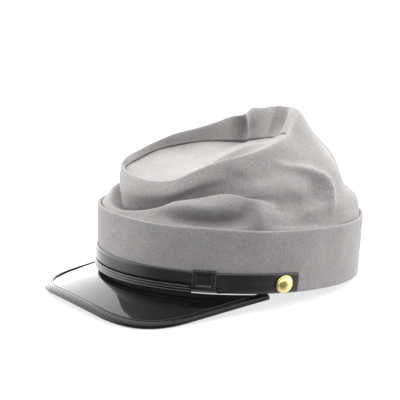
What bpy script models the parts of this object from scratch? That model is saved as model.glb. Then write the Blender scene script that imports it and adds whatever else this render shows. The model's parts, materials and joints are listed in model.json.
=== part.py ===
"""Kepi cap: a stiff felt band, a soft crown slumped forward, a peak, a chin strap and two domed buttons.

Metres, +Z up. The cap faces -Y and the wearer's left is +X. It rests as a cap does when it is put
down: on the back of the band's lower edge and on the two front corners of the peak.
Every piece is made square to the band, whose lower edge is at height 0, and one parent empty then
pitches the whole cap back and sets it on the floor.
"""

import math

import bmesh
import bpy
import numpy as np
from mathutils import Matrix, Vector

# Band: an oval felt wall, a little wider at its top
BAND_LENGTH = 0.208
BAND_WIDTH = 0.166
BAND_TOP_LENGTH = 0.2082
BAND_TOP_WIDTH = 0.174
BAND_TOP_FORWARD = 0.0024
BAND_HEIGHT = 0.0457
BAND_WALL = 0.003
BAND_EDGE_ROUND = 0.0012
FELT_PRESSED = 0.0003

# Crown: soft cloth sewn inside the band's top, with a round top piece let into it
CLOTH = 0.002
CROWN_TUCK = 0.008
CROWN_HEIGHT = 0.077
TOP_RADIUS = 0.057
TOP_FORWARD = 0.031
TOP_SAG = 0.007
TOP_STEP = 0.001
TOP_RIDGE = 0.0035
TOP_RIDGE_ANGLE = 88.0
TOP_RIDGE_SPREAD = 34.0
TOP_RIDGE_REACH = 0.78
TOP_RIDGE_WIDTH = 0.13

# Peak: a stiff board whose ends tuck under the band, its edge in a rolled binding
PEAK_REACH = 0.0316
PEAK_HALF_WIDTH = 0.0747
PEAK_END_HALF_WIDTH = 0.0811
PEAK_END_ANGLE = 76.0
PEAK_CORNER = 0.0384
PEAK_BOW = 0.0083
PEAK_BOARD = 0.002
PEAK_TUCK = 0.0045
PEAK_DROP = 0.0187
PEAK_ARCH = 0.0059
BINDING_LIP = 0.0009
BINDING_WIDTH = 0.0045
BINDING_ROLL = 0.0022

# Strip of ribbed leather cloth that hides the joint of peak and band
WELT_HEIGHT = 0.0049
WELT_THICKNESS = 0.0017
WELT_RIB = 0.0006
WELT_RIBS = 3
WELT_END_ANGLE = 78.0

# Chin strap: a narrow front piece and a wider near-side piece, joined in a slide
STRAP_THICKNESS = 0.0012
STRAP_WIDTH = 0.0098
REAR_STRAP_WIDTH = 0.0145
REAR_STRAP_LIFT = 0.0007
REAR_STRAP_CROWNING = 0.0006
STRAP_END_ANGLE = 87.9
SLIDE_ANGLE = 48.9
SLIDE_LENGTH = 0.0157
SLIDE_HEIGHT = 0.0134
SLIDE_WALL = 0.0009
SLIDE_FRAME = 0.0024
SLIDE_RECESS = 0.0004

# Buttons: domed brass on a short post through strap and band
BUTTON_RADIUS = 0.0065
BUTTON_DOME = 0.0036
BUTTON_RIM = 0.0008
BUTTON_ANGLE = 81.2
POST_RADIUS = 0.0012

CLEARANCE = 0.0003
POST_CLEARANCE = 0.0003

# How finely the pieces are divided
ROUND_BAND = 64
ROUND_CROWN = 54
CROWN_ROWS = 22
TOP_ROWS = 7
ALONG_PEAK = 36
ACROSS_PEAK = 4
ROUND_BUTTON = 20

# The crown cut by twelve upright planes, one every 30 degrees, from the front round by the wearer's left.
# Each fold of the cloth has two columns. "out" is its place between the top piece's seam circle (0) and
# the ring where the cloth leaves the band (1). "up" is its height above the band, as a share of CROWN_HEIGHT.
CROWN_COLUMNS = ("crest", "valley", "bulge", "shoulder", "rim", "seam")
CROWN_SECTIONS = (
    # crest        valley       bulge        shoulder     rim          seam
    ((0.90, 0.02), (0.50, 0.03), (0.84, 0.055), (0.62, 0.20), (0.26, 0.325), (0.00, 0.31)),
    ((0.84, 0.19), (0.33, 0.13), (0.46, 0.17), (0.34, 0.26), (0.10, 0.345), (0.00, 0.365)),
    ((0.84, 0.31), (0.52, 0.34), (0.46, 0.41), (0.25, 0.49), (0.06, 0.54), (0.00, 0.57)),
    ((0.95, 0.14), (0.86, 0.27), (0.70, 0.41), (0.40, 0.55), (0.10, 0.66), (0.00, 0.70)),
    ((0.97, 0.15), (0.86, 0.29), (0.72, 0.46), (0.44, 0.63), (0.13, 0.77), (0.00, 0.79)),
    ((0.94, 0.18), (0.74, 0.31), (0.61, 0.53), (0.37, 0.75), (0.14, 0.97), (0.00, 0.76)),
    ((0.95, 0.18), (0.78, 0.31), (0.64, 0.53), (0.36, 0.77), (0.11, 0.97), (0.00, 0.66)),
    ((0.97, 0.17), (0.84, 0.30), (0.68, 0.50), (0.36, 0.70), (0.09, 0.84), (0.00, 0.58)),
    ((0.98, 0.14), (0.85, 0.23), (0.67, 0.37), (0.36, 0.56), (0.09, 0.665), (0.00, 0.53)),
    ((0.95, 0.11), (0.76, 0.16), (0.62, 0.27), (0.40, 0.44), (0.14, 0.54), (0.00, 0.455)),
    ((0.74, 0.13), (0.40, 0.11), (0.42, 0.19), (0.36, 0.33), (0.22, 0.415), (0.00, 0.36)),
    ((0.58, 0.08), (0.00, 0.05), (0.17, 0.12), (0.22, 0.27), (0.20, 0.375), (0.00, 0.335)),
)


def curve_through(values, at, closed=False):
    """Values on a smooth curve through equally spaced rows of values, at places counted in rows."""
    values = np.asarray(values, float)
    at = np.asarray(at, float)
    count = len(values)
    start = np.floor(at).astype(int)
    if not closed:
        start = np.clip(start, 0, count - 2)
    share = (at - start).reshape(-1, *([1] * (values.ndim - 1)))
    if closed:
        before, here, after, beyond = (values[(start + k) % count] for k in (-1, 0, 1, 2))
    else:
        here, after = values[start], values[start + 1]
        before = np.where(_column(start == 0, values), 2 * here - after, values[np.maximum(start - 1, 0)])
        last = _column(start == count - 2, values)
        beyond = np.where(last, 2 * after - here, values[np.minimum(start + 2, count - 1)])
    leave, arrive = (after - before) / 2, (beyond - here) / 2
    square, cube = share**2, share**3
    return (
        (2 * cube - 3 * square + 1) * here
        + (cube - 2 * square + share) * leave
        + (3 * square - 2 * cube) * after
        + (cube - square) * arrive
    )


def _column(flags, values):
    """Flags for rows, shaped to be compared with the rows of values."""
    return flags.reshape(-1, *([1] * (values.ndim - 1)))


def unit(vectors):
    return vectors / np.linalg.norm(vectors, axis=-1, keepdims=True)


def oval(angles, half_width, half_length, forward=0.0):
    """Points in plan on an oval, by angle from the front towards the wearer's left."""
    return np.stack([half_width * np.sin(angles), -forward - half_length * np.cos(angles)], -1)


def band_surface(angles, heights, out=0.0):
    """Points at these angles and heights that stand out from the band's outer face by out."""
    angles, heights, out = np.broadcast_arrays(angles, heights, out)
    share = heights / BAND_HEIGHT
    half_width = (BAND_WIDTH + (BAND_TOP_WIDTH - BAND_WIDTH) * share) / 2 + out
    half_length = (BAND_LENGTH + (BAND_TOP_LENGTH - BAND_LENGTH) * share) / 2 + out
    plan = oval(angles, half_width, half_length, BAND_TOP_FORWARD * share)
    return np.concatenate([plan, heights[..., None]], -1)


def angles_round(count):
    return np.linspace(0, 2 * math.pi, count, endpoint=False)


def mesh_object(name, points, faces, material):
    """An object from points and faces, its normals made to point out of the solid."""
    mesh = bpy.data.meshes.new(name)
    mesh.from_pydata([tuple(p) for p in points], [], faces)
    made = bmesh.new()
    made.from_mesh(mesh)
    bmesh.ops.recalc_face_normals(made, faces=made.faces)
    made.to_mesh(mesh)
    made.free()
    mesh.shade_smooth()
    mesh.set_sharp_from_angle(angle=math.radians(40))
    obj = bpy.data.objects.new(name, mesh)
    obj.data.materials.append(material)
    parts.objects.link(obj)
    return obj


def grid_faces(rows, columns, closed_rows=False, closed_columns=False):
    """Four-sided faces over a grid of points, which may close on itself either way."""
    last_row = rows if closed_rows else rows - 1
    last_column = columns if closed_columns else columns - 1
    return [
        (
            r * columns + c,
            r * columns + (c + 1) % columns,
            (r + 1) % rows * columns + (c + 1) % columns,
            (r + 1) % rows * columns + c,
        )
        for r in range(last_row)
        for c in range(last_column)
    ]


def sheet(name, grid, material, thickness, closed_columns=False, outward=None):
    """A curved sheet through a grid of points. They lie on its shown face, and its thickness is behind it."""
    rows, columns, _ = grid.shape
    faces = grid_faces(rows, columns, closed_columns=closed_columns)
    obj = mesh_object(name, grid.reshape(-1, 3), faces, material)
    shown = obj.data.polygons[len(obj.data.polygons) // 2]
    if Vector(outward(shown.center)).dot(shown.normal) < 0:
        obj.data.flip_normals()
    wall = obj.modifiers.new("thickness", "SOLIDIFY")
    wall.thickness = thickness
    wall.offset = -1
    return obj


def swept(name, sections, material, closed_path=False):
    """A solid through closed sections with equal numbers of points, capped at its ends if its path is open."""
    count, size, _ = sections.shape
    faces = grid_faces(count, size, closed_rows=closed_path, closed_columns=True)
    if not closed_path:
        faces.append(tuple(range(size)))
        faces.append(tuple(range((count - 1) * size, count * size)))
    return mesh_object(name, sections.reshape(-1, 3), faces, material)


def material(name, colour, roughness, metallic=0.0):
    made = bpy.data.materials.new(name)
    made.use_nodes = True
    shader = made.node_tree.nodes["Principled BSDF"]
    shader.inputs["Base Color"].default_value = (*colour, 1)
    shader.inputs["Roughness"].default_value = roughness
    shader.inputs["Metallic"].default_value = metallic
    return made


def make_band(felt):
    """One wall round the head, its upper edge rounded and its lower edge flat."""
    angles = angles_round(ROUND_BAND)
    corner = BAND_EDGE_ROUND
    section = [(0, 0), (0, BAND_HEIGHT - corner)]
    section += [(corner * 0.3, BAND_HEIGHT - corner * 0.3), (corner, BAND_HEIGHT)]
    inner = [(BAND_WALL - inset, height) for inset, height in reversed(section)]
    rows = [band_surface(angles, height, -inset) for inset, height in section + inner]
    return swept("band", np.stack(rows, 1), felt, closed_path=True)


def crown_ring(angles, out, up):
    """Points of the crown: out is 0 on the top piece's seam circle and 1 where the cloth leaves the band."""
    top = oval(angles, TOP_RADIUS, TOP_RADIUS, TOP_FORWARD)
    leaving = band_surface(angles, BAND_HEIGHT, -BAND_WALL - CLEARANCE)[..., :2]
    plan = top + (leaving - top) * out[..., None]
    return np.concatenate([plan, (BAND_HEIGHT + up * CROWN_HEIGHT)[..., None]], -1)


def crown_grid(columns, rows):
    """The crown's outer face, from the edge sewn inside the band up over the rim and in to the top's seam."""
    angles = angles_round(columns)
    sections = curve_through(CROWN_SECTIONS, angles / (2 * math.pi) * len(CROWN_SECTIONS), closed=True)
    foot = band_surface(angles, BAND_HEIGHT - CROWN_TUCK, -BAND_WALL - CLEARANCE)
    leaving = band_surface(angles, BAND_HEIGHT, -BAND_WALL - CLEARANCE)
    folds = [crown_ring(angles, sections[:, k, 0], sections[:, k, 1]) for k in range(len(CROWN_COLUMNS))]
    guides = np.stack([leaving, *folds])
    above = curve_through(guides, np.linspace(0, len(guides) - 1, rows - 1))
    return np.concatenate([foot[None], above])


def make_crown(felt):
    grid = crown_grid(ROUND_CROWN, CROWN_ROWS)

    def from_axis(point):
        return (point[0], point[1] + TOP_FORWARD, 0)

    return sheet("crown", grid, felt, CLOTH, closed_columns=True, outward=from_axis)


def top_edge(angles, grid, behind):
    """Where the top piece ends: a clearance inside the crown's last edge, whichever face of it is nearer."""
    centre = np.array([0, -TOP_FORWARD])
    reach = np.minimum(
        np.linalg.norm(grid[-1, :, :2] - centre, axis=1),
        np.linalg.norm(behind[-1, :, :2] - centre, axis=1),
    )
    return reach - CLEARANCE


def sheet_back(grid, thickness):
    """The hidden face of a sheet: each point of its shown face, moved in along the face's normal."""
    along = np.roll(grid, -1, 1) - np.roll(grid, 1, 1)
    across = np.gradient(grid, axis=0)
    normal = np.cross(along, across)
    normal /= np.linalg.norm(normal, axis=-1, keepdims=True)
    return grid - normal * thickness


def top_grid(columns, rows):
    """The round top piece, hung from its seam: each wave of the seam's height dies away towards the middle."""
    angles = angles_round(columns)
    crown = crown_grid(columns, CROWN_ROWS)
    edge = top_edge(angles, crown, sheet_back(crown, CLOTH))
    waves = np.fft.rfft(crown[-1, :, 2])
    order = np.arange(len(waves))
    grid = []
    for share in np.linspace(1, 0, rows + 1)[:-1]:
        height = np.fft.irfft(waves * share**order, columns)
        height -= TOP_STEP + TOP_SAG * (1 - share**2)
        turn = (np.degrees(angles) - TOP_RIDGE_ANGLE) / TOP_RIDGE_SPREAD
        ridge = np.exp(-(turn**2) - ((share - TOP_RIDGE_REACH) / TOP_RIDGE_WIDTH) ** 2)
        height += TOP_RIDGE * ridge
        plan = oval(angles, edge * share, edge * share, TOP_FORWARD)
        grid.append(np.concatenate([plan, height[:, None]], -1))
    return np.stack(grid)


def make_crown_top(felt):
    """The top piece, as thick straight down as the cloth is."""
    grid = top_grid(ROUND_CROWN, TOP_ROWS)
    rows, columns, _ = grid.shape
    shown = np.concatenate([grid.reshape(-1, 3), grid[-1].mean(0)[None]])
    middle = rows * columns
    faces = grid_faces(rows, columns, closed_columns=True)
    ring = middle - columns
    faces += [(ring + c, ring + (c + 1) % columns, middle) for c in range(columns)]
    below = len(shown)
    faces += [tuple(below + corner for corner in reversed(face)) for face in faces]
    faces += [(c, (c + 1) % columns, below + (c + 1) % columns, below + c) for c in range(columns)]
    return mesh_object("crown_top", np.concatenate([shown, shown - (0, 0, CLOTH)]), faces, felt)


def peak_below():
    """How far the board lies under the band, so that the binding's upper lip can end between them."""
    return BINDING_LIP + 2 * CLEARANCE


def peak_half_plan(inset):
    """Half of the peak's edge in plan, front to end: a bowed front, a rounded corner, a nearly straight side."""
    end = np.array([PEAK_END_HALF_WIDTH, -oval(math.radians(PEAK_END_ANGLE), 0, BAND_LENGTH / 2)[1]])
    reach = BAND_LENGTH / 2 + PEAK_REACH
    corner = np.array([PEAK_HALF_WIDTH, reach - PEAK_BOW])
    across = np.linspace(0, PEAK_HALF_WIDTH - PEAK_CORNER, 12)
    front = np.stack([across, reach - PEAK_BOW * (across / PEAK_HALF_WIDTH) ** 2], -1)
    side_start = corner + unit(end - corner) * PEAK_CORNER
    t = np.linspace(0, 1, 24)[1:, None]
    rounded = (1 - t) ** 2 * front[-1] + 2 * (1 - t) * t * corner + t**2 * side_start
    side = side_start + (end - side_start) * np.linspace(0, 1, 12)[1:, None]
    plan = np.concatenate([front, rounded, side])
    along = unit(np.gradient(plan, axis=0))
    return plan - np.stack([-along[:, 1], along[:, 0]], -1) * inset


def peak_outline(turns, inset=0.0):
    """The peak's outer edge, by turn from the front (0) to either end (1 and -1), moved in by inset."""
    plan = peak_half_plan(inset)
    run = np.concatenate([[0], np.cumsum(np.linalg.norm(np.diff(plan, axis=0), axis=-1))])
    x = np.interp(np.abs(turns), run / run[-1], plan[:, 0])
    forward = np.interp(np.abs(turns), run / run[-1], plan[:, 1])
    corner = BAND_LENGTH / 2 + PEAK_REACH - PEAK_BOW
    share = (forward - forward.min()) / (corner - forward.min())
    arch = PEAK_ARCH * share * (1 - (x / PEAK_HALF_WIDTH) ** 2).clip(0)
    return np.stack([x * np.sign(turns), -forward, arch - PEAK_DROP * share - peak_below()], -1)


def peak_turns(count):
    return np.linspace(-1, 1, count)


def peak_inner(turns):
    """The peak's inner edge, tucked under the band."""
    angles = np.asarray(turns) * math.radians(PEAK_END_ANGLE)
    edge = band_surface(angles, 0.0, -PEAK_TUCK)
    edge[..., 2] = -peak_below()
    return edge


def board_line(turns, inward):
    """A line on the board's upper face, this far in from its outer edge, and the face's normal along it."""
    outer = peak_outline(turns, inset=BINDING_ROLL + CLEARANCE)
    ruling = peak_inner(turns) - outer
    length = np.linalg.norm(ruling, axis=-1, keepdims=True)
    line = outer + ruling / length * np.minimum(inward, length * 0.9)
    normal = unit(np.cross(ruling, np.gradient(line, axis=0)))
    return line, normal * np.sign(normal[:, 2:])


def make_peak(patent):
    """The board: its upper face is ruled from under the band to its outer edge, its lower one a board below."""
    turns = peak_turns(ALONG_PEAK + 1)
    lines = [board_line(turns, inward) for inward in (0.0, BINDING_WIDTH / 2, BINDING_WIDTH)]
    covered, normal = lines[-1]
    for share in np.linspace(0, 1, ACROSS_PEAK + 1)[1:]:
        lines.append((covered + (peak_inner(turns) - covered) * share, normal))
    upper = [line for line, _ in lines]
    lower = [line - up * PEAK_BOARD for line, up in reversed(lines)]
    return swept("peak", np.stack(upper + lower, 1), patent)


def binding_section():
    """The binding in section, as places out from the board's edge and up from the board's middle."""
    slot = PEAK_BOARD / 2 + CLEARANCE
    face = slot + BINDING_LIP
    steps = np.linspace(math.pi / 2, -math.pi / 2, 6)
    roll = [(CLEARANCE + BINDING_ROLL * math.cos(a), face * math.sin(a)) for a in steps]
    lip = -BINDING_WIDTH
    middle = lip / 2
    upper = [(CLEARANCE, slot), (middle, slot), (lip, slot), (lip, face), (middle, face)]
    lower = [(out, -up) for out, up in reversed(upper)]
    return upper + roll + lower


def binding_sections():
    """The binding's section carried along the board's edge, its lips following the board's two faces."""
    turns = peak_turns(ALONG_PEAK + 1)
    edge, up_there = board_line(turns, 0.0)
    out_there = unit(np.cross(up_there, np.gradient(edge, axis=0)))
    out_there *= np.sign(np.sum(out_there * (edge - peak_inner(turns)), axis=-1, keepdims=True))
    loops = []
    for out, up in binding_section():
        line, normal = board_line(turns, max(-out, 0.0))
        loops.append(line + out_there * max(out, 0.0) + normal * (up - PEAK_BOARD / 2))
    return np.stack(loops, 1)


def make_binding(patent):
    return swept("peak_binding", binding_sections(), patent)


def wrapped(name, angles, low, high, out, thickness, finish, ribs=0, rib=0.0, crowning=0.0, steps=1):
    """A strip lying on the band from angle to angle: its back is flat, its face ribbed or crowned."""
    shares = np.linspace(0, 1, steps + 1)
    face = crowning * 4 * shares * (1 - shares)
    if ribs:
        face = face + rib * np.abs(np.sin(shares * math.pi * ribs))
    heights = low + (high - low) * shares
    back = [(out, heights[-1]), (out, heights[0])]
    front = [(out + thickness + f, h) for f, h in zip(face, heights)]
    rows = [band_surface(angles, h, o) for o, h in front + back]
    return swept(name, np.stack(rows, 1), finish)


def strap_angles(start, end, step=4.0):
    count = max(2, round(abs(end - start) / step) + 1)
    return np.radians(np.linspace(start, end, count))


def slide_half_angle():
    """Half of the angle that the slide covers on the band."""
    here = math.radians(SLIDE_ANGLE)
    radius = math.hypot(BAND_WIDTH / 2 * math.cos(here), BAND_LENGTH / 2 * math.sin(here))
    return math.degrees(SLIDE_LENGTH / 2 / radius)


def strap_out(angles):
    """How far a strap stands off the band: it is lifted where it runs through the slide."""
    lift = SLIDE_WALL + CLEARANCE
    away = (np.abs(np.degrees(angles) - SLIDE_ANGLE) / slide_half_angle() - 1.0).clip(0) / 1.2
    return CLEARANCE + lift * (1 - away.clip(0, 1) ** 2 * (3 - 2 * away.clip(0, 1)))


def strap_low():
    return WELT_HEIGHT + 2 * CLEARANCE


def slide_heights():
    """The slide's lower and upper edges: its upper wall clears the front strap's upper edge."""
    high = strap_low() + STRAP_WIDTH + CLEARANCE + SLIDE_WALL
    return high - SLIDE_HEIGHT, high


def make_welt(patent):
    end = SLIDE_ANGLE - slide_half_angle() * 1.06
    angles = strap_angles(-WELT_END_ANGLE, end)
    low = CLEARANCE - peak_below() / 2
    return wrapped(
        "peak_welt", angles, low, WELT_HEIGHT + CLEARANCE, CLEARANCE, WELT_THICKNESS, patent,
        ribs=WELT_RIBS, rib=WELT_RIB, steps=WELT_RIBS * 2,
    )


def make_front_strap(leather):
    angles = strap_angles(-STRAP_END_ANGLE, SLIDE_ANGLE - slide_half_angle() * 0.05)
    low = strap_low()
    return wrapped(
        "strap_front", angles, low, low + STRAP_WIDTH, strap_out(angles), STRAP_THICKNESS, leather,
        crowning=REAR_STRAP_CROWNING / 2, steps=2,
    )


def make_rear_strap(leather):
    """The near-side strap: its front end narrows to a tongue that goes into the slide."""
    inside = SLIDE_ANGLE + slide_half_angle() * 0.05
    clear = SLIDE_ANGLE + slide_half_angle() * 1.05
    angles = np.concatenate([
        np.radians([inside, clear]),
        strap_angles(clear + 0.8, STRAP_END_ANGLE),
    ])
    wide = (np.degrees(angles) > clear + 0.1).astype(float)
    slide_low, slide_high = slide_heights()
    tongue_low = slide_low + SLIDE_WALL + CLEARANCE
    tongue_high = slide_high - SLIDE_WALL - CLEARANCE
    low = tongue_low + (REAR_STRAP_LIFT - tongue_low) * wide
    high = tongue_high + (REAR_STRAP_LIFT + REAR_STRAP_WIDTH - tongue_high) * wide
    steps = 4
    shares = np.linspace(0, 1, steps + 1)
    heights = low[:, None] + (high - low)[:, None] * shares
    out = strap_out(angles)[:, None]
    rise = REAR_STRAP_CROWNING * 4 * shares * (1 - shares) * wide[:, None]
    front = band_surface(angles[:, None], heights, out + STRAP_THICKNESS + rise)
    back = band_surface(angles[:, None], heights[:, [-1, 0]], out)
    return swept("strap_rear", np.concatenate([front, back], 1), leather)


def make_slide(leather):
    """A flat sleeve round both straps, with a sunk panel in its face."""
    half = slide_half_angle()
    low, high = slide_heights()
    near = CLEARANCE
    far = near + 2 * SLIDE_WALL + 2 * CLEARANCE + STRAP_THICKNESS + REAR_STRAP_CROWNING / 2
    frame = SLIDE_FRAME / SLIDE_LENGTH * 2 * half
    ends = [SLIDE_ANGLE - half, SLIDE_ANGLE - half + frame, SLIDE_ANGLE + half - frame, SLIDE_ANGLE + half]
    outer_low, outer_high = low, high
    inner_low, inner_high = low + SLIDE_WALL, high - SLIDE_WALL
    sections = []
    for place, angle in enumerate(np.radians(ends)):
        sunk = SLIDE_RECESS if place in (1, 2) else 0.0
        loop = [(near, outer_low), (far, outer_low)]
        loop += [(far, low + SLIDE_FRAME), (far - sunk, low + SLIDE_FRAME + CLEARANCE)]
        loop += [(far - sunk, high - SLIDE_FRAME - CLEARANCE), (far, high - SLIDE_FRAME)]
        loop += [(far, outer_high), (near, outer_high)]
        sections.append([band_surface(angle, h, o) for o, h in loop])
    holes = [
        [band_surface(angle, h, o) for o, h in (
            (near + SLIDE_WALL, inner_low), (far - SLIDE_WALL, inner_low),
            (far - SLIDE_WALL, inner_high), (near + SLIDE_WALL, inner_high),
        )]
        for angle in np.radians([ends[0] - 2.0, ends[1], ends[2], ends[3] + 2.0])
    ]
    slide = swept("strap_slide", np.array(sections), leather)
    cutter = swept("slide_hole", np.array(holes), leather)
    cut(slide, cutter)
    return slide


def cut(obj, cutter):
    """Cuts the cutter from obj, and keeps the cutter out of the render."""
    for home in list(cutter.users_collection):
        home.objects.unlink(cutter)
    if cutter.name not in cutters.objects:
        cutters.objects.link(cutter)
    cutter.hide_render = True
    cutter.display_type = "WIRE"
    hole = obj.modifiers.new("hole", "BOOLEAN")
    hole.operation = "DIFFERENCE"
    hole.solver = "EXACT"
    hole.object = cutter


def facing(angle_degrees, height):
    """A place on the band's outer face and the turn that sends +Z straight out of it."""
    angle = math.radians(angle_degrees)
    near, here, far = (Vector(band_surface(a, height)) for a in (angle - 0.01, angle, angle + 0.01))
    above = Vector(band_surface(angle, height + 0.001))
    out = (above - here).cross(far - near).normalized()
    if out.dot(here) < 0:
        out = -out
    return Matrix.Translation(here) @ out.to_track_quat("Z", "Y").to_matrix().to_4x4()


def make_button(name, brass, angle, height, seat, pierced):
    """A turned button: a rolled rim and a shallow dome, on a post through the strap and the band."""
    dome = [
        (BUTTON_RADIUS * math.sin(a), BUTTON_RIM + BUTTON_DOME * (1 - math.cos(a)) / 1.0)
        for a in np.linspace(0, math.pi / 2, 7)
    ]
    outside = [(r, BUTTON_RIM * 2 + BUTTON_DOME - (z - BUTTON_RIM)) for r, z in dome]
    profile = [(0.0, outside[0][1])] + outside[1:]
    profile += [(BUTTON_RADIUS, BUTTON_RIM * 0.5), (BUTTON_RADIUS - BUTTON_RIM, 0.0)]
    depth = seat + BAND_WALL
    profile += [(POST_RADIUS, 0.0), (POST_RADIUS, -depth), (0.0, -depth)]
    mesh = bpy.data.meshes.new(name)
    edges = [(i, i + 1) for i in range(len(profile) - 1)]
    mesh.from_pydata([(r, 0, z) for r, z in profile], edges, [])
    obj = bpy.data.objects.new(name, mesh)
    obj.data.materials.append(brass)
    parts.objects.link(obj)
    turned = obj.modifiers.new("turned", "SCREW")
    turned.steps = turned.render_steps = ROUND_BUTTON
    turned.use_merge_vertices = True
    turned.merge_threshold = 0.00005
    turned.use_smooth_shade = True
    place = facing(angle, height) @ Matrix.Translation((0, 0, seat))
    obj.matrix_world = place
    bpy.ops.mesh.primitive_cylinder_add(
        vertices=ROUND_BUTTON, radius=POST_RADIUS + POST_CLEARANCE, depth=4 * (seat + BAND_WALL)
    )
    drill = bpy.context.object
    drill.name = name + "_drill"
    drill.matrix_world = place
    for piece in pierced:
        cut(piece, drill)
    return obj


def rest_pitch():
    """How far the cap leans back when the band's back edge and the peak's corners both touch the floor."""
    lowest = binding_sections().reshape(-1, 3)
    pitches = np.arctan2(FELT_PRESSED - lowest[:, 2], BAND_LENGTH / 2 - lowest[:, 1])
    return float(np.max(pitches))


def set_down(objects):
    """Parents every piece to one empty that pitches the cap and centres it on the floor."""
    turn = Matrix.Rotation(-rest_pitch(), 4, "X")
    drop = (turn @ Vector((0, BAND_LENGTH / 2, FELT_PRESSED))).z
    front = min((turn @ Vector(p)).y for p in binding_sections().reshape(-1, 3))
    rear = (turn @ Vector(band_surface(math.pi, BAND_HEIGHT))).y
    rest = bpy.data.objects.new("rest", None)
    parts.objects.link(rest)
    rest.matrix_world = Matrix.Translation((0, -(front + rear) / 2, -drop)) @ turn
    bpy.context.view_layer.update()
    for obj in objects:
        obj.parent = rest


def press_flat(felt_piece):
    """Flattens the felt where it bears on the floor, with a box whose upper face is the floor."""
    side = 2 * BAND_LENGTH
    bpy.ops.mesh.primitive_cube_add(size=side, location=(0, 0, -side / 2))
    floor = bpy.context.object
    floor.name = "floor"
    cut(felt_piece, floor)


def new_collection(name):
    made = bpy.data.collections.new(name)
    bpy.context.scene.collection.children.link(made)
    return made


for old in list(bpy.data.objects):
    bpy.data.objects.remove(old)
parts = new_collection("kepi_cap")
cutters = new_collection("cutters")

grey_felt = material("grey_felt", (0.36, 0.35, 0.345), 0.95)
black_patent = material("black_patent", (0.012, 0.012, 0.014), 0.08)
black_strap = material("black_strap", (0.022, 0.022, 0.024), 0.32)
button_brass = material("button_brass", (0.86, 0.70, 0.30), 0.18, 1.0)

band = make_band(grey_felt)
crown = make_crown(grey_felt)
crown_top = make_crown_top(grey_felt)
peak = make_peak(black_patent)
binding = make_binding(black_patent)
welt = make_welt(black_patent)
strap_front = make_front_strap(black_strap)
strap_rear = make_rear_strap(black_strap)
slide = make_slide(black_strap)
on_strap = 2 * CLEARANCE + STRAP_THICKNESS + REAR_STRAP_CROWNING
button_left = make_button(
    "button_left", button_brass, BUTTON_ANGLE, REAR_STRAP_LIFT + REAR_STRAP_WIDTH / 2, on_strap,
    (band, strap_rear),
)
button_right = make_button(
    "button_right", button_brass, -BUTTON_ANGLE, strap_low() + STRAP_WIDTH / 2, on_strap,
    (band, strap_front),
)
set_down(list(parts.objects) + list(cutters.objects))
press_flat(band)
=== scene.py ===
"""A grey felt kepi with a black patent peak, put down on a pale studio floor.

Metres, +Z up, peak towards -Y.
"""

import json
import math

import bmesh
import bpy
import numpy as np
from mathutils import Matrix, Vector


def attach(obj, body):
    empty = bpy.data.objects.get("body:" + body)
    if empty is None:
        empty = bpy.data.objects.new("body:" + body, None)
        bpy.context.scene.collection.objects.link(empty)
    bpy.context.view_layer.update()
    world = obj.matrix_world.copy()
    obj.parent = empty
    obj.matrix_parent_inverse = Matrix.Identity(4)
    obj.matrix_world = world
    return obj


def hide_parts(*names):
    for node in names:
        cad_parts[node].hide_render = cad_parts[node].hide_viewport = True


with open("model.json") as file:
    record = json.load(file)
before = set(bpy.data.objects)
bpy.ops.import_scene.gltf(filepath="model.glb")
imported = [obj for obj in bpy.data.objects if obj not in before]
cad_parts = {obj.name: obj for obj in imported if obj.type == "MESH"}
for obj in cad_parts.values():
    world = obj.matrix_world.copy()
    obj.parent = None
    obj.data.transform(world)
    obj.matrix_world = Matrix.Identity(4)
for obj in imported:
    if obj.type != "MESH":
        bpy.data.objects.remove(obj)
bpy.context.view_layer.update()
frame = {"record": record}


# The band: a stiff strip of thick wool felt, 46 mm high, blocked to an oval and joined at the back.
# The cap leans back on its peak, so every piece is worked square to the band's lower edge, and then leaned.

BAND_LENGTH, BAND_WIDTH = 0.208, 0.166
BAND_TOP_LENGTH, BAND_TOP_WIDTH, BAND_TOP_FORWARD = 0.2082, 0.174, 0.0024
BAND_HEIGHT, BAND_WALL = 0.0457, 0.003
CLEARANCE = 0.0003
BAND_STEPS, BAND_EDGE_FLATNESS = 300, 0.6
BACK_JOIN_DEPTH, BACK_JOIN_DEGREES = 0.0005, 0.5
FELT_SHADE, FELT_GRAIN = (0.289, 0.281, 0.277), 760.0

# How unevenly the felt lies: the height and the wavelength of each swell.
FACE_SWELL, FACE_PUCKER, EDGE_WAVE = (0.00035, 0.045), (0.0002, 0.018), (0.0005, 0.07)

head_opening = next(mount for mount in frame["record"]["mounts"] if mount["name"] == "head_opening")
ring_centre = np.array(head_opening["pos_m"])
lean = math.atan2(-head_opening["axis"][1], -head_opening["axis"][2])
leaned = np.array(Matrix.Rotation(-lean, 3, "X"))


def set_down(points):
    """Points worked square to the band, moved to where the cap stands."""
    return np.asarray(points) @ leaned.T + ring_centre


def unit(vectors):
    return vectors / np.linalg.norm(vectors, axis=-1, keepdims=True)


def oval(angles, half_width, half_length, forward):
    """Points in plan on an oval, by angle from the front towards the wearer's left."""
    return np.stack([half_width * np.sin(angles), -forward - half_length * np.cos(angles)], -1)


def band_surface(angles, heights, out=0.0):
    """Points at these angles and heights that stand out from the band's outer face by out."""
    angles, heights, out = np.broadcast_arrays(angles, heights, out)
    share = heights / BAND_HEIGHT
    half_width = (BAND_WIDTH + (BAND_TOP_WIDTH - BAND_WIDTH) * share) / 2 + out
    half_length = (BAND_LENGTH + (BAND_TOP_LENGTH - BAND_LENGTH) * share) / 2 + out
    plan = oval(angles, half_width, half_length, BAND_TOP_FORWARD * share)
    return np.concatenate([plan, heights[..., None]], -1)


def angles_round(count):
    return np.linspace(0, 2 * math.pi, count, endpoint=False)


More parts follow.
